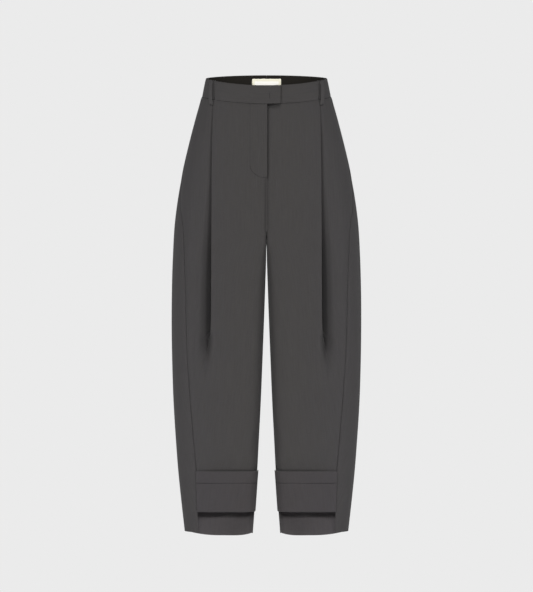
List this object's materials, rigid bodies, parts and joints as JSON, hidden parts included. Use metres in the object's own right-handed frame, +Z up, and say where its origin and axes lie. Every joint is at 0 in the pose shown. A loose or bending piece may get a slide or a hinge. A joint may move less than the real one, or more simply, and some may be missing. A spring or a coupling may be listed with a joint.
{
  "type": "barrel leg trousers",
  "caption": "High-waisted barrel leg trousers with a deep pleat on each front, a lapped fly, belt loops and turned-up front cuffs over longer backs.",
  "frame": {"origin": "middle of the waist opening, level with the waistband's top edge at the sides, where the wearer holds the trousers up", "axes": "+Z up along the legs, -Y to the front, +X to the wearer's left"},
  "size_m": [0.442, 0.2403, 1.066],
  "materials": {
    "charcoal_cloth": "matte charcoal wool twill",
    "cuff_cloth": "matte charcoal wool twill, a shade cooler",
    "label_cloth": "blank cream satin"
  },
  "bodies": {
    "root": {"front_left": "charcoal_cloth", "front_right": "charcoal_cloth", "back_left": "charcoal_cloth", "back_right": "charcoal_cloth", "waistband_left": "charcoal_cloth", "waistband_right": "charcoal_cloth", "cuff_left": "cuff_cloth", "cuff_right": "cuff_cloth", "belt_loop_front_left": "charcoal_cloth", "belt_loop_front_right": "charcoal_cloth", "belt_loop_back_left": "charcoal_cloth", "belt_loop_back_right": "charcoal_cloth", "belt_loop_back": "charcoal_cloth", "label": "label_cloth"}
  },
  "joints": []
}
